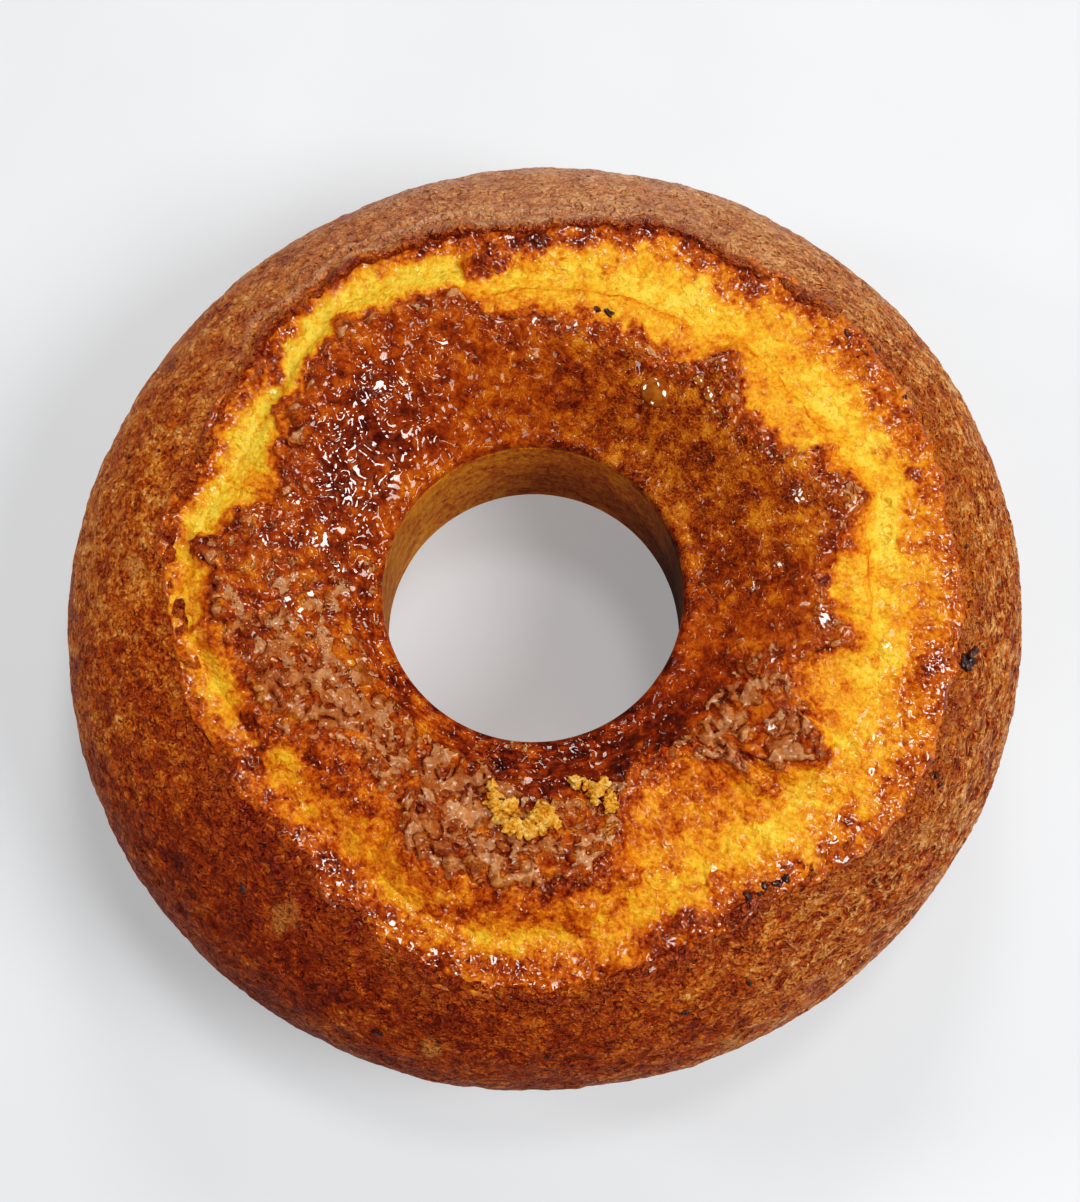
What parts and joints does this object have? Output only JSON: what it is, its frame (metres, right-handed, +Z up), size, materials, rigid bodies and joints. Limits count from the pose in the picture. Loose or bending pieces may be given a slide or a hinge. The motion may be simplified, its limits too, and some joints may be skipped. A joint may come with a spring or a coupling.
{
  "type": "ring cake",
  "caption": "Uncut plain ring cake with a smooth tapering side, a conical hole and a crown torn open in a ring between its brown cap and the lip of its crust.",
  "frame": {"origin": "under the middle of the cake, on the flat underside that it rests on", "axes": "+Z up through the hole, towards the risen crown; +X and +Y lie in the underside, +X along the cake's slightly longer way across"},
  "size_m": [0.2404, 0.2358, 0.0752],
  "materials": {
    "baked_cake": "baked cake: brown pitted crust on the sides, glossy dark brown glazed cap and lip, moist yellow crumb in the tear",
    "glaze": "clear amber syrup glaze, wet and smooth",
    "crumbs": "dry loose yellow crumbs",
    "burnt_bits": "dark burnt specks of crust"
  },
  "bodies": {
    "root": {"cake": "baked_cake"}
  },
  "joints": []
}
